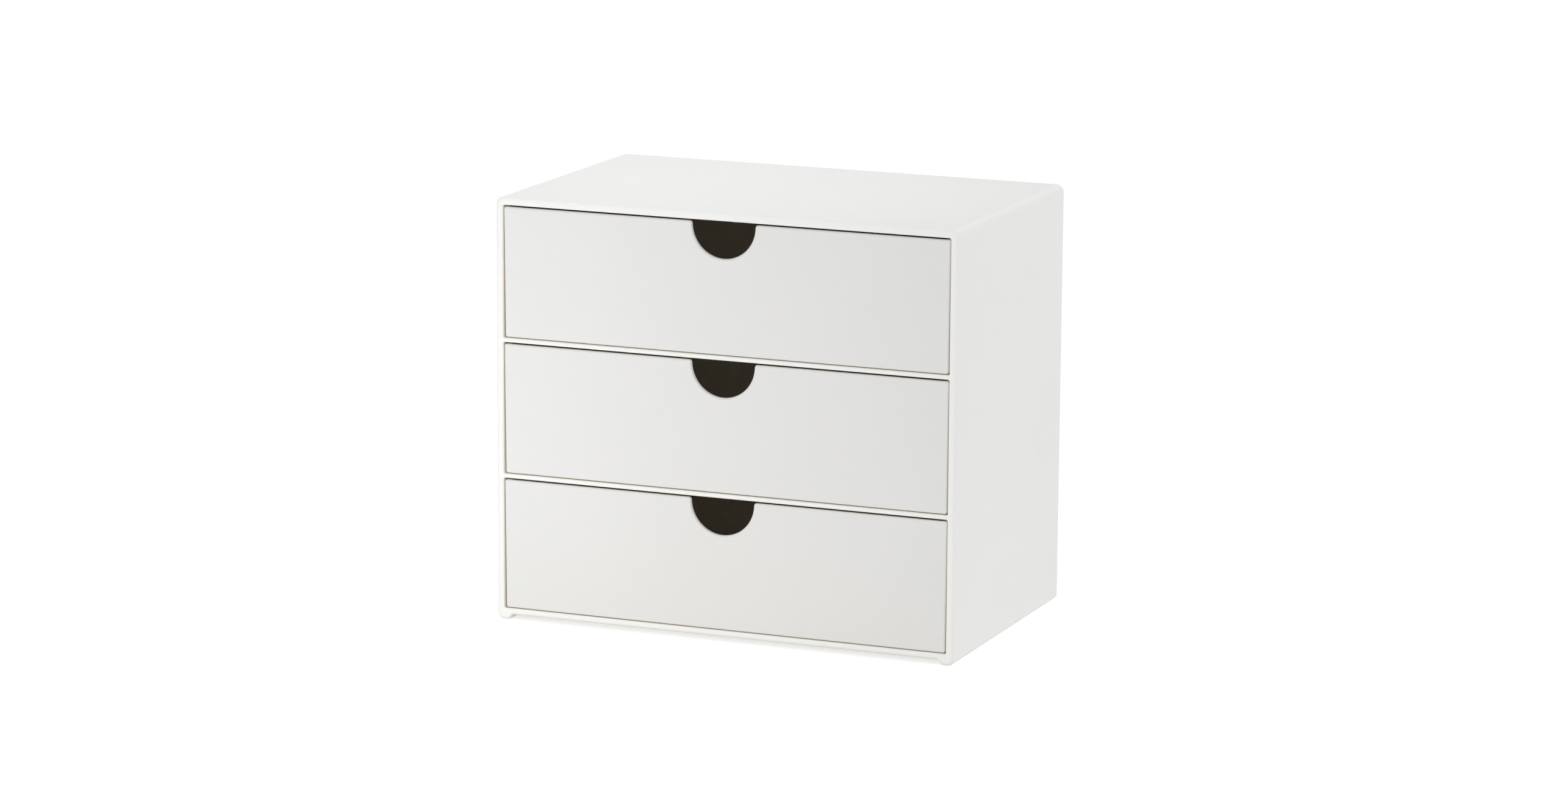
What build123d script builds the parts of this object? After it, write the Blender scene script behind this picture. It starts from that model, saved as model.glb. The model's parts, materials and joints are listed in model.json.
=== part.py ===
from build123d import *
import math
import os

# Desktop organizer with three drawers: a one-piece sleeve with two front bars, two shelves that slide
# into grooves from behind up to the bars, a back panel held by screws, three drafted trays and four
# non-slip pads under the foot rails.
# Millimetres, +Z up, drawers open towards -Y, origin under the middle of the footprint.

# Sleeve
case_width = 330.0
case_depth = 206.0
side_wall = 5.2
roof_thickness = 5.2
base_thickness = 4.5
long_edge_radius = 5.0
front_outer_radius = 2.6
front_inner_radius = 1.2
rear_edge_radius = 0.6

# Bays, the front bars between them, and the shelves behind the bars
bay_count = 3
bay_height = 90.3
bay_corner_radius = 1.2
bar_depth = 8.0
shelf_thickness = 3.0
groove_depth = 2.0
shelf_fit = 0.1

# Foot rails and their pads
rail_height = 3.3
rail_width = 11.4
rail_crest_width = 4.6
rail_outer_radius = 4.0
rail_crest_radius = 2.8
rail_root_radius = 1.0
pad_length = 22.0
pad_width = 2.2
pad_end_radius = 1.0
pad_pocket_depth = 1.0
pad_proud = 0.4
pad_end_inset = 14.0
pad_fit = 0.1

# Back panel, its screw bosses and screws
panel_thickness = 3.0
panel_recess = 3.0
panel_fit = 0.3
panel_edge_radius = 0.5
boss_width = 8.0
boss_height = 9.0
boss_end_wall = 1.2
boss_edge_radius = 2.0
pilot_diameter = 2.5
pilot_tip_gap = 0.6
screw_core_diameter = 2.4
screw_length = 9.5
screw_tip_length = 1.6
screw_tip_diameter = 1.2
screw_head_diameter = 5.6
screw_head_height = 2.0
screw_head_radius = 0.9
screw_cross_width = 0.9
screw_cross_span = 3.4
screw_cross_depth = 1.1
screw_hole_diameter = 3.2
counterbore_depth = 0.8
counterbore_clearance = 0.4

# Drawer trays
front_recess = 0.5
drawer_top_gap = 1.2
side_gap_top = 0.5
side_gap_bottom = 1.1
tray_wall = 2.5
tray_front_wall = 3.0
tray_floor = 2.5
tray_rear_corner_radius = 6.0
tray_front_inner_radius = 3.0
tray_floor_radius = 2.2
tray_outer_edge_radius = 1.5
tray_inner_edge_radius = 0.8
runner_height = 0.35
runner_width = 4.0
runner_inset = 24.0
runner_end_gap = 10.0
closed_gap = 0.3
notch_width = 45.2
notch_depth = 24.1
notch_entry_radius = 2.0

# Drawer stops: lips on the trays' rear walls that meet lugs under the roof and shelves
kept_in_depth = 56.0
stop_gap = 0.3
stop_spacing = 190.0
stop_width = 30.0
lug_height = 0.8
lug_depth = 3.0
lip_height = 0.85

overrun = 1.0

# Places worked out from the sizes above
front = -case_depth / 2
rear = case_depth / 2
half_width = case_width / 2
bay_half_width = half_width - side_wall
bay_width = 2 * bay_half_width
rail_crest = pad_proud
base_underside = rail_crest + rail_height
rail_root = half_width - rail_width
crest_outer = half_width - rail_outer_radius
crest_inner = crest_outer - rail_crest_width
flank_angle = math.atan2(rail_height, crest_inner - rail_root)
crest_flat_inner = crest_inner + rail_crest_radius * math.tan(flank_angle / 2)
pad_x = (crest_outer + crest_flat_inner) / 2
pad_y = case_depth / 2 - pad_end_inset - pad_length / 2
base_top = base_underside + base_thickness
bay_pitch = bay_height + shelf_thickness
bay_floors = [base_top + index * bay_pitch for index in range(bay_count)]
bay_roofs = [floor + bay_height for floor in bay_floors]
roof_underside = bay_roofs[-1]
case_top = roof_underside + roof_thickness
panel_rear = rear - panel_recess
panel_front = panel_rear - panel_thickness
counterbore_floor = panel_rear - counterbore_depth
screw_tip = counterbore_floor - screw_length
pilot_end = screw_tip - pilot_tip_gap
boss_front = pilot_end - boss_end_wall
boss_x = bay_half_width - boss_width / 2
boss_levels = [floor + bay_height / 2 for floor in bay_floors]
tray_front = front + front_recess
tray_rear = boss_front - closed_gap
tray_height = bay_height - runner_height - drawer_top_gap
draft_run = side_gap_bottom - side_gap_top
draft_angle = math.degrees(math.atan(draft_run / tray_height))
drawer_travel = case_depth - kept_in_depth
lip_front = tray_rear - tray_wall
lug_rear = lip_front - drawer_travel - stop_gap
sides = (-1, 1)


def block(x_low, x_high, y_low, y_high, z_low, z_high):
    """A box between two corners."""
    box = Box(x_high - x_low, y_high - y_low, z_high - z_low, align=(Align.MIN, Align.MIN, Align.MIN))
    return Pos(x_low, y_low, z_low) * box


def prism(face, y_low, y_high):
    """An upright face, drawn in the XZ plane, extruded from y_low to y_high."""
    return Pos(0, y_high, 0) * extrude(Plane.XZ * face, amount=y_high - y_low)


def rod(diameter, x, z, y_low, y_high):
    """A round bar along Y."""
    return prism(Pos(x, z) * Circle(diameter / 2), y_low, y_high)


def front_face(solid):
    """A solid's foremost face."""
    return solid.faces().sort_by(Axis.Y)[0]


def stop_lugs(underside):
    """The two lugs under a bay's roof that the lips of its tray run against."""
    lugs = []
    for side in sides:
        middle = side * stop_spacing / 2
        lug = block(
            middle - stop_width / 2, middle + stop_width / 2,
            lug_rear - lug_depth, lug_rear,
            underside - lug_height, underside,
        )
        lugs.append(lug)
    return lugs


def sleeve_outline():
    """Front view of the sleeve's outside: rounded roof edges above, foot rails below."""
    right = [
        (half_width, case_top, long_edge_radius),
        (half_width, rail_crest, rail_outer_radius),
        (crest_inner, rail_crest, rail_crest_radius),
        (rail_root, base_underside, rail_root_radius),
    ]
    left = [(-x, z, radius) for x, z, radius in reversed(right)]
    corners = right + left
    points = [(x, z) for x, z, radius in corners]
    radii = [radius for x, z, radius in corners]
    return make_face(FilletPolyline(*points, radius=radii, close=True))


def pad_places():
    """Name and middle of each foot pad, on the flat of the rails' crests."""
    places = {}
    for end, row in (("front", -1), ("rear", 1)):
        for flank, side in (("left", -1), ("right", 1)):
            places[f"{end}_{flank}_foot_pad"] = (side * pad_x, row * pad_y)
    return places


def pad_shape(x, y, growth):
    """A round-ended strip, larger than the pad by growth on every side."""
    strip = RectangleRounded(pad_width + 2 * growth, pad_length + 2 * growth, pad_end_radius + growth)
    return Pos(x, y, 0) * extrude(strip, amount=rail_crest + pad_pocket_depth)


def screw_boss(level):
    """The boss on the right-hand wall of a bay, which also stops the closed tray."""
    boss = block(
        bay_half_width - boss_width, bay_half_width + side_wall / 2,
        boss_front, panel_front,
        level - boss_height / 2, level + boss_height / 2,
    )
    inner_edges = boss.edges().filter_by(Axis.Y).group_by(Axis.X)[0]
    return fillet(inner_edges, boss_edge_radius)


def bay_outline(floor):
    """Front view of one bay."""
    return Pos(0, floor + bay_height / 2) * RectangleRounded(bay_width, bay_height, bay_corner_radius)


def rear_outline(fit):
    """Front view of the opening at the sleeve's rear end, smaller by fit on every side."""
    height = roof_underside - base_top
    shape = RectangleRounded(bay_width - 2 * fit, height - 2 * fit, bay_corner_radius)
    return Pos(0, base_top + height / 2) * shape


def outer_sleeve():
    """Roof, sides, base and front bars in one piece, with grooves, bosses, pad pockets and stop lugs."""
    outline = sleeve_outline()
    for floor in bay_floors:
        outline -= bay_outline(floor)
    body = prism(outline, front, rear)
    body -= prism(rear_outline(0), panel_front, rear + overrun)
    body = fillet(front_face(body).outer_wire().edges(), front_outer_radius)
    bay_edges = [edge for wire in front_face(body).inner_wires() for edge in wire.edges()]
    body = fillet(bay_edges, front_inner_radius)
    body = fillet(body.edges().group_by(Axis.Y)[-1], rear_edge_radius)

    for floor in bay_floors[1:]:
        slot = block(
            -bay_half_width - groove_depth, bay_half_width + groove_depth,
            front + bar_depth, rear + overrun,
            floor - shelf_thickness - shelf_fit, floor + shelf_fit,
        )
        body -= slot

    for level in boss_levels:
        for side in sides:
            boss = screw_boss(level)
            body += boss if side > 0 else mirror(boss, Plane.YZ)
            body -= rod(pilot_diameter, side * boss_x, level, pilot_end, panel_front + overrun)

    for x, y in pad_places().values():
        body -= pad_shape(x, y, pad_fit)
    for lug in stop_lugs(roof_underside):
        body += lug
    return body


def shelf(top):
    """A flat divider whose sides run in the grooves, with stop lugs below."""
    half = bay_half_width + groove_depth - shelf_fit
    bottom = top - shelf_thickness
    plate = block(-half, half, front + bar_depth + shelf_fit, panel_front, bottom, top)
    for lug in stop_lugs(bottom):
        plate += lug
    return plate


def back_panel():
    """The flat panel inside the sleeve's rear end, with six counterbored screw holes."""
    panel = prism(rear_outline(panel_fit), panel_front, panel_rear)
    panel = fillet(panel.edges().group_by(Axis.Y)[-1], panel_edge_radius)
    for level in boss_levels:
        for side in sides:
            x = side * boss_x
            panel -= rod(screw_hole_diameter, x, level, panel_front - overrun, panel_rear + overrun)
            seat = screw_head_diameter + counterbore_clearance
            panel -= rod(seat, x, level, counterbore_floor, panel_rear + overrun)
    return panel


def screw(x, z):
    """A pan-head self-tapping screw with a cross recess, driven in along -Y."""
    head_top = counterbore_floor + screw_head_height
    head = rod(screw_head_diameter, x, z, counterbore_floor, head_top)
    head = fillet(head.edges().group_by(Axis.Y)[-1], screw_head_radius)
    for size in ((screw_cross_span, screw_cross_width), (screw_cross_width, screw_cross_span)):
        head -= prism(Pos(x, z) * Rectangle(*size), head_top - screw_cross_depth, head_top + overrun)
    shank = rod(screw_core_diameter, x, z, screw_tip, counterbore_floor)
    tip_edge = shank.edges().group_by(Axis.Y)[0]
    shank = chamfer(tip_edge, screw_tip_length, (screw_core_diameter - screw_tip_diameter) / 2)
    return head + shank


def tapered_box(bottom_width, y_low, y_high, z_low, height):
    """A box that widens upwards on all four sides by the trays' draft."""
    base = Pos(0, (y_low + y_high) / 2) * Rectangle(bottom_width, y_high - y_low)
    return extrude(Plane.XY.offset(z_low) * base, amount=height, taper=-draft_angle)


def upright_edges(solid):
    """The corner edges of a tapered box, front pair and rear pair."""
    tall = [edge for edge in solid.edges() if edge.bounding_box().size.Z > tray_height / 2]
    middle = solid.bounding_box().center().Y
    foremost = [edge for edge in tall if edge.center().Y < middle]
    rearmost = [edge for edge in tall if edge.center().Y > middle]
    return foremost, rearmost


def tray_outside(bottom):
    """The tray as a full block with rounded rear corners."""
    width = bay_width - 2 * side_gap_bottom
    outside = tapered_box(width, tray_front + draft_run, tray_rear - draft_run, bottom, tray_height)
    return fillet(upright_edges(outside)[1], tray_rear_corner_radius)


def tray_inside(bottom):
    """The space in the tray, as a block that runs out past its rim."""
    rise = draft_run * tray_floor / tray_height
    width = bay_width - 2 * side_gap_bottom + 2 * rise - 2 * tray_wall
    y_low = tray_front + draft_run - rise + tray_front_wall
    y_high = tray_rear - draft_run + rise - tray_wall
    inside = tapered_box(width, y_low, y_high, bottom + tray_floor, tray_height - tray_floor + overrun)
    inside = fillet(upright_edges(inside)[0], tray_front_inner_radius)
    inside = fillet(upright_edges(inside)[1], tray_rear_corner_radius - tray_wall)
    return fillet(inside.edges().group_by(Axis.Z)[0], tray_floor_radius)


def finger_notch(rim):
    """The half-moon cut in the front wall."""
    radius = notch_width / 2
    bowl = Pos(0, rim - notch_depth + radius) * Rot(0, 0, 90) * Circle(radius)
    return prism(bowl, tray_front - overrun, tray_front + tray_front_wall + draft_run + overrun)


def round_tray_edges(tray):
    """Round the notch's entry, then all outer edges, then the inner rim with the notch."""
    wall_front = tray_front + tray_front_wall / 2
    wall_rear = tray_rear - tray_wall / 2
    wall_side = bay_half_width - side_gap_top - tray_wall / 2
    entry = tray.edges().filter_by(Axis.Y).group_by(Axis.Z)[-1]
    entry = [edge for edge in entry if abs(edge.center().X) < notch_width]
    tray = fillet(entry, notch_entry_radius)

    def is_outer(edge):
        place = edge.center()
        return place.Y > wall_rear or abs(place.X) > wall_side

    levels = tray.faces().sort_by(Axis.Z)
    outer = list(front_face(tray).outer_wire().edges())
    outer += levels[0].outer_wire().edges().sort_by(Axis.Y)[1:]
    outer += [edge for edge in levels[-1].edges() if is_outer(edge)]
    tray = fillet(outer, tray_outer_edge_radius)
    rim_face = tray.faces().sort_by(Axis.Z)[-1]
    inner = [edge for edge in rim_face.edges() if not is_outer(edge) and edge.center().Y > wall_front]
    return fillet(inner, tray_inner_edge_radius)


def drawer_tray(floor):
    """One tray, standing on its runners on the bay floor."""
    bottom = floor + runner_height
    rim = bottom + tray_height
    tray = tray_outside(bottom) - tray_inside(bottom) - finger_notch(rim)
    tray = round_tray_edges(tray)

    runner_x = bay_half_width - side_gap_bottom - runner_inset
    for side in sides:
        x = side * runner_x
        tray += block(
            x - runner_width / 2, x + runner_width / 2,
            tray_front + runner_end_gap, tray_rear - runner_end_gap,
            floor, bottom + tray_floor / 2,
        )
        middle = side * stop_spacing / 2
        tray += block(
            middle - stop_width / 2, middle + stop_width / 2,
            lip_front, tray_rear,
            rim - tray_outer_edge_radius, rim + lip_height,
        )
    return tray


def foot_pad(x, y):
    """A soft strip that fills its pocket and stands a little proud of the rail."""
    return pad_shape(x, y, 0)


def main():
    os.makedirs("parts", exist_ok=True)
    pieces = {
        "outer_sleeve": outer_sleeve(),
        "lower_shelf": shelf(bay_floors[1]),
        "upper_shelf": shelf(bay_floors[2]),
        "back_panel": back_panel(),
    }
    places = [(side * boss_x, level) for level in boss_levels for side in sides]
    pieces["back_panel_screws"] = Compound([screw(x, z) for x, z in places])
    for name, floor in zip(("bottom", "middle", "top"), bay_floors):
        pieces[f"{name}_drawer_tray"] = drawer_tray(floor)
    for name, (x, y) in pad_places().items():
        pieces[name] = foot_pad(x, y)
    for name, piece in pieces.items():
        export_step(piece, f"parts/{name}.step")


main()
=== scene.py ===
import json
import math

import bpy
from mathutils import Matrix, Vector


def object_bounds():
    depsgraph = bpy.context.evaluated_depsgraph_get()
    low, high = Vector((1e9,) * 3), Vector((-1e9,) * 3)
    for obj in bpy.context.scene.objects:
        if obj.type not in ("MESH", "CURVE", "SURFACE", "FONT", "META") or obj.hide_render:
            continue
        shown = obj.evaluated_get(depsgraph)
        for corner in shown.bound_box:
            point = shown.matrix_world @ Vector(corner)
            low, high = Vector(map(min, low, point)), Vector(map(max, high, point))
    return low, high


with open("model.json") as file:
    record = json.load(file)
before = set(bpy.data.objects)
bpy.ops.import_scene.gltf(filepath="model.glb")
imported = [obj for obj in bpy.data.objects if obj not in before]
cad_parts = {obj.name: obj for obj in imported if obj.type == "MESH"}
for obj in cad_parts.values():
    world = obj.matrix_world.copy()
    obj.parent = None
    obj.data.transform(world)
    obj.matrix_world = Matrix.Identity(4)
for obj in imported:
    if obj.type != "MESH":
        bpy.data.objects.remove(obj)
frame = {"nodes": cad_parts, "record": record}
cad_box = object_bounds()
CASE_RIGHT = cad_box[1][0]
CASE_TOP = cad_box[1][2]

# Camera, fitted to the straight edges of the photograph: the sensor in millimetres, the place in metres
IMAGE_WIDTH = 2576
FOCAL_PIXELS = 8739.55
SENSOR_WIDTH = 36.0
CAMERA_PLACE = Vector((1.33969, -3.27982, 0.8702))
AZIMUTH = math.radians(22.185)
ELEVATION = math.radians(11.539)
ROLL = math.radians(0.377)

# Finishes: the dark and the light tone that the clouds run between, and the least and most roughness
# The case is set whiter than the drawers: partly the plastics' own tones, partly a painted highlight standing
# in for the light on the case's rounded front edges
CASE_TONES = (0.930, 0.927, 0.912), (0.945, 0.943, 0.932)
CASE_ROUGHNESS = 0.34, 0.42
DRAWER_TONES = (0.801, 0.798, 0.788), (0.815, 0.813, 0.806)
DRAWER_ROUGHNESS = 0.38, 0.47
PAD_TONES = (0.48, 0.48, 0.47), (0.56, 0.56, 0.55)
PAD_ROUGHNESS = 0.62, 0.8
STEEL_TONES = (0.55, 0.55, 0.56), (0.66, 0.66, 0.67)
STEEL_ROUGHNESS = 0.24, 0.42
PLASTIC_IOR = 1.49

# Painted shade: the warm dark colour a plastic takes for light that went from wall to wall, which darkens and
# warms notches and gaps, and the diffuse bounces over which it sets in
CASE_PAINTED_SHADE = 0.90, 0.89, 0.86
DRAWER_PAINTED_SHADE = 0.74, 0.60, 0.12
PAINTED_SHADE_BOUNCES = 1, 3

# Studio: the floor's glow makes it white to the camera, and the world's light falls off to the left
WHITE = (1, 1, 1, 1)
FLOOR_REACH = 6.0
FLOOR_COLOR = (0.8, 0.8, 0.8, 1)
FLOOR_ROUGHNESS = 0.9
FLOOR_GLOW = 0.57
WORLD_LIGHT_LEFT = 0.324
WORLD_LIGHT_RIGHT = 0.774

# Light goes on from wall to wall inside the white drawers, so it has many bounces
MAX_BOUNCES = 24
DIFFUSE_BOUNCES = 20

# Most of a noise lies in this range
NOISE_RANGE = 0.3, 0.7


def add_camera():
    """The photograph's camera."""
    back = Vector((
        math.sin(AZIMUTH) * math.cos(ELEVATION),
        -math.cos(AZIMUTH) * math.cos(ELEVATION),
        math.sin(ELEVATION),
    ))
    level = Vector((math.cos(AZIMUTH), math.sin(AZIMUTH), 0))
    upright = back.cross(level)
    right = math.cos(ROLL) * level + math.sin(ROLL) * upright
    up = math.cos(ROLL) * upright - math.sin(ROLL) * level
    data = bpy.data.cameras.new("camera")
    data.sensor_fit = "HORIZONTAL"
    data.sensor_width = SENSOR_WIDTH
    data.lens = FOCAL_PIXELS * SENSOR_WIDTH / IMAGE_WIDTH
    camera = bpy.data.objects.new("camera", data)
    turn = Matrix((right, up, back)).transposed().to_4x4()
    camera.matrix_world = Matrix.Translation(CAMERA_PLACE) @ turn
    bpy.context.collection.objects.link(camera)
    bpy.context.scene.camera = camera


class Nodes:
    """The node tree of a material or a world, with short calls for the nodes used here."""

    def __init__(self, owner, shader):
        owner.use_nodes = True
        self.tree = owner.node_tree
        self.inputs = self.tree.nodes[shader].inputs

    def node(self, kind, **settings):
        made = self.tree.nodes.new(kind)
        for key, value in settings.items():
            setattr(made, key, value)
        return made

    def link(self, output, socket):
        self.tree.links.new(output, socket)

    def map_range(self, value, start, end, interpolation="LINEAR"):
        """Carries value from the range start over to the range end."""
        node = self.node("ShaderNodeMapRange", interpolation_type=interpolation)
        for socket, number in zip(("From Min", "From Max", "To Min", "To Max"), (*start, *end)):
            node.inputs[socket].default_value = number
        self.link(value, node.inputs["Value"])
        return node.outputs["Result"]

    def seen(self):
        """1 where the camera looks, straight or by reflection or transmission, and 0 for light."""
        path = self.node("ShaderNodeLightPath")
        result = path.outputs["Is Camera Ray"]
        for kind in ("Is Glossy Ray", "Is Transmission Ray"):
            either = self.node("ShaderNodeMath", operation="MAXIMUM")
            self.link(result, either.inputs[0])
            self.link(path.outputs[kind], either.inputs[1])
            result = either.outputs["Value"]
        return result


class Surface(Nodes):
    """A new material with a Principled shader."""

    def __init__(self, name):
        self.material = bpy.data.materials.new(name)
        super().__init__(self.material, "Principled BSDF")

    def noise(self, scale, detail):
        """Noise that keeps to the object, with its scale per metre."""
        place = self.node("ShaderNodeTexCoord")
        texture = self.node("ShaderNodeTexNoise")
        texture.inputs["Scale"].default_value = scale
        texture.inputs["Detail"].default_value = detail
        self.link(place.outputs["Object"], texture.inputs["Vector"])
        return texture.outputs["Fac"]

    def clouds(self, scale, detail, reach=(0, 1)):
        """Noise that is stretched to fill the range reach."""
        return self.map_range(self.noise(scale, detail), NOISE_RANGE, reach)

    def blend(self, factor, tones):
        node = self.node("ShaderNodeMix", data_type="RGBA")
        for socket, tone in zip(("A", "B"), tones):
            node.inputs[socket].default_value = (*tone, 1)
        self.link(factor, node.inputs["Factor"])
        return node.outputs["Result"]

    def bump(self, height, strength, distance, under=None):
        node = self.node("ShaderNodeBump")
        node.inputs["Strength"].default_value = strength
        node.inputs["Distance"].default_value = distance
        self.link(height, node.inputs["Height"])
        if under:
            self.link(under, node.inputs["Normal"])
        return node.outputs["Normal"]


def moulded_plastic(name, tones, painted_shade_color, roughness):
    """Satin moulded plastic: a fine spark-eroded grain on a slow ripple, with faint clouds of tone and gloss.

    Light that goes from wall to wall takes on a warm dark colour: painted shade that makes the notches and
    gaps dark and warm.
    """
    shader = Surface(name)
    # Painted shade: over the diffuse bounces the base colour turns from the plastic's tones to a warm dark
    # colour
    path = shader.node("ShaderNodeLightPath")
    painted_shade_factor = shader.map_range(path.outputs["Diffuse Depth"], PAINTED_SHADE_BOUNCES, (0, 1), "SMOOTHSTEP")
    painted_shade_mix = shader.node("ShaderNodeMix", data_type="RGBA")
    shader.link(painted_shade_factor, painted_shade_mix.inputs["Factor"])
    shader.link(shader.blend(shader.clouds(scale=7, detail=3), tones), painted_shade_mix.inputs["A"])
    painted_shade_mix.inputs["B"].default_value = (*painted_shade_color, 1)
    shader.link(painted_shade_mix.outputs["Result"], shader.inputs["Base Color"])
    shader.link(shader.clouds(scale=60, detail=4, reach=roughness), shader.inputs["Roughness"])
    ripple = shader.bump(shader.noise(scale=40, detail=2), strength=0.05, distance=0.0006)
    grain = shader.bump(shader.noise(scale=2600, detail=2), strength=0.12, distance=0.00006, under=ripple)
    shader.link(grain, shader.inputs["Normal"])
    shader.inputs["IOR"].default_value = PLASTIC_IOR
    return shader.material


def soft_rubber(name, tones, roughness):
    """Dull silicone with a powdery grain."""
    shader = Surface(name)
    shader.link(shader.blend(shader.clouds(scale=90, detail=4), tones), shader.inputs["Base Color"])
    shader.link(shader.clouds(scale=400, detail=3, reach=roughness), shader.inputs["Roughness"])
    grain = shader.bump(shader.noise(scale=1500, detail=3), strength=0.3, distance=0.0001)
    shader.link(grain, shader.inputs["Normal"])
    return shader.material


def plated_steel(name, tones, roughness):
    """Zinc-plated steel: a bright metal with a fine grain and dull spots."""
    shader = Surface(name)
    shader.link(shader.blend(shader.clouds(scale=700, detail=4), tones), shader.inputs["Base Color"])
    shader.inputs["Metallic"].default_value = 1
    shader.link(shader.clouds(scale=1800, detail=3, reach=roughness), shader.inputs["Roughness"])
    grain = shader.bump(shader.noise(scale=4000, detail=2), strength=0.15, distance=0.00004)
    shader.link(grain, shader.inputs["Normal"])
    return shader.material


def dress_nodes():
    """Gives each CAD node the finish of its material slot."""
    finishes = {
        "case_plastic": moulded_plastic("case_plastic", CASE_TONES, CASE_PAINTED_SHADE, CASE_ROUGHNESS),
        "drawer_plastic": moulded_plastic("drawer_plastic", DRAWER_TONES, DRAWER_PAINTED_SHADE, DRAWER_ROUGHNESS),
        "pad_rubber": soft_rubber("pad_rubber", PAD_TONES, PAD_ROUGHNESS),
        "screw_steel": plated_steel("screw_steel", STEEL_TONES, STEEL_ROUGHNESS),
    }
    for part in frame["record"]["subparts"]:
        mesh = frame["nodes"][part["node"]].data
        mesh.materials.clear()
        mesh.materials.append(finishes[part["material_slot"]])


def add_floor():
    """A pale floor that the camera sees as white, with the object's shadow on it."""
    corners = [(x * FLOOR_REACH, y * FLOOR_REACH, 0) for x, y in ((-1, -1), (1, -1), (1, 1), (-1, 1))]
    mesh = bpy.data.meshes.new("floor")
    mesh.from_pydata(corners, [], [(0, 1, 2, 3)])
    floor = bpy.data.objects.new("floor", mesh)
    bpy.context.collection.objects.link(floor)
    shader = Surface("floor")
    shader.inputs["Base Color"].default_value = FLOOR_COLOR
    shader.inputs["Roughness"].default_value = FLOOR_ROUGHNESS
    shader.inputs["Specular IOR Level"].default_value = 0
    shader.inputs["Emission Color"].default_value = WHITE
    glow = shader.map_range(shader.seen(), (0, 1), (0, FLOOR_GLOW))
    shader.link(glow, shader.inputs["Emission Strength"])
    mesh.materials.append(shader.material)


def add_world():
    """White to the camera and in reflections, and as light a softer grey that falls off to the left."""
    world = bpy.data.worlds.new("studio")
    bpy.context.scene.world = world
    shader = Nodes(world, "Background")
    direction = shader.node("ShaderNodeTexCoord")
    sides = shader.node("ShaderNodeSeparateXYZ")
    shader.link(direction.outputs["Generated"], sides.inputs["Vector"])
    light = shader.map_range(sides.outputs["X"], (-1, 1), (WORLD_LIGHT_LEFT, WORLD_LIGHT_RIGHT))
    level = shader.node("ShaderNodeMapRange")
    shader.link(shader.seen(), level.inputs["Value"])
    shader.link(light, level.inputs["To Min"])
    shader.link(level.outputs["Result"], shader.inputs["Strength"])
    shader.inputs["Color"].default_value = WHITE


def add_lamp(name, place, target, size, power):
    """A soft lamp that leaves no highlight; the white world alone shows in reflections."""
    data = bpy.data.lights.new(name, "AREA")
    data.shape = "RECTANGLE"
    data.size, data.size_y = size
    data.energy = power
    lamp = bpy.data.objects.new(name, data)
    lamp.location = place
    lamp.rotation_euler = (Vector(target) - Vector(place)).to_track_quat("-Z", "Y").to_euler()
    lamp.visible_glossy = False
    bpy.context.collection.objects.link(lamp)


def add_lamps():
    """A large softbox at the front right, and small lamps for the left front, the roof and the side."""
    add_lamp("key", place=(-0.42, -0.72, 0.07), target=(-0.14, -0.1, 0.09), size=(0.3, 0.12), power=1.64)
    add_lamp("softbox", place=(1.7, -2.8, 1.1), target=(0, -0.1, 0.15), size=(2.2, 2.2), power=20.4)
    add_lamp("overhead", place=(-0.12, 0, 0.8), target=(-0.12, 0, CASE_TOP), size=(0.3, 0.3), power=0.81)
    add_lamp("side", place=(1.0, 0.25, 0.45), target=(CASE_RIGHT, 0.05, 0.2), size=(0.3, 0.3), power=0.72)


dress_nodes()
add_camera()
add_floor()
add_world()
add_lamps()

scene = bpy.context.scene
scene.view_settings.view_transform = "Standard"
scene.cycles.max_bounces = MAX_BOUNCES
scene.cycles.diffuse_bounces = DIFFUSE_BOUNCES
